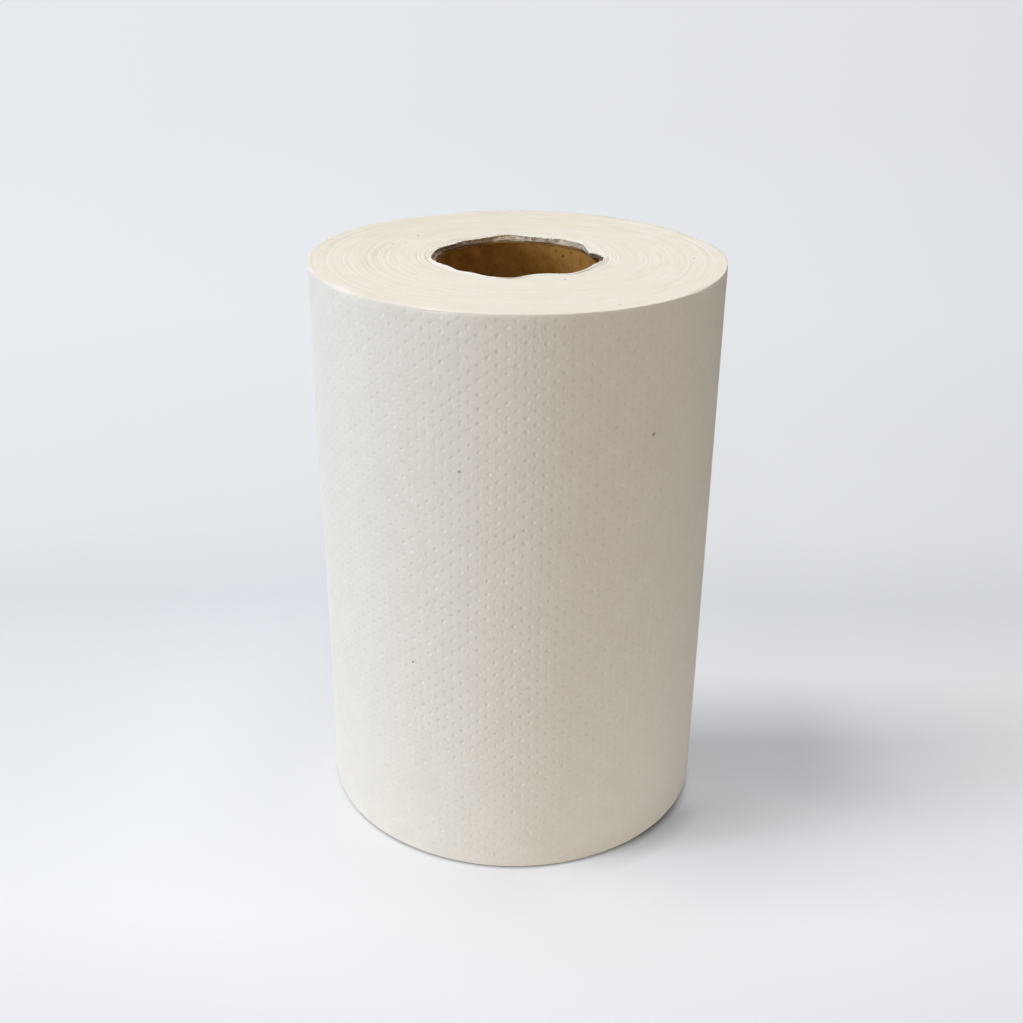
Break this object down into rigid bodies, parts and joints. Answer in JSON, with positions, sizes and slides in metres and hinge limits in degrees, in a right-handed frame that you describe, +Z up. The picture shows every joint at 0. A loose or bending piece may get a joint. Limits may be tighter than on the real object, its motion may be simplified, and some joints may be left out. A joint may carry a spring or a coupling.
{
  "type": "paper towel roll",
  "caption": "Tall roll of natural, embossed paper towel wound on a brown cardboard core tube, standing on its end with the core's mouth open at the top.",
  "frame": {"origin": "centre of the roll's lower end face, on the core's axis, on the surface that it stands on", "axes": "+Z up along the roll's axis, +X to the right and +Y to the back of a person who looks at the front, with the loose tail at the back"},
  "size_m": [0.1395, 0.1393, 0.2007],
  "materials": {
    "towel_paper": "matte",
    "core_board": "matte"
  },
  "bodies": {
    "root": {"paper_roll": "towel_paper", "core_tube": "core_board"}
  },
  "joints": []
}
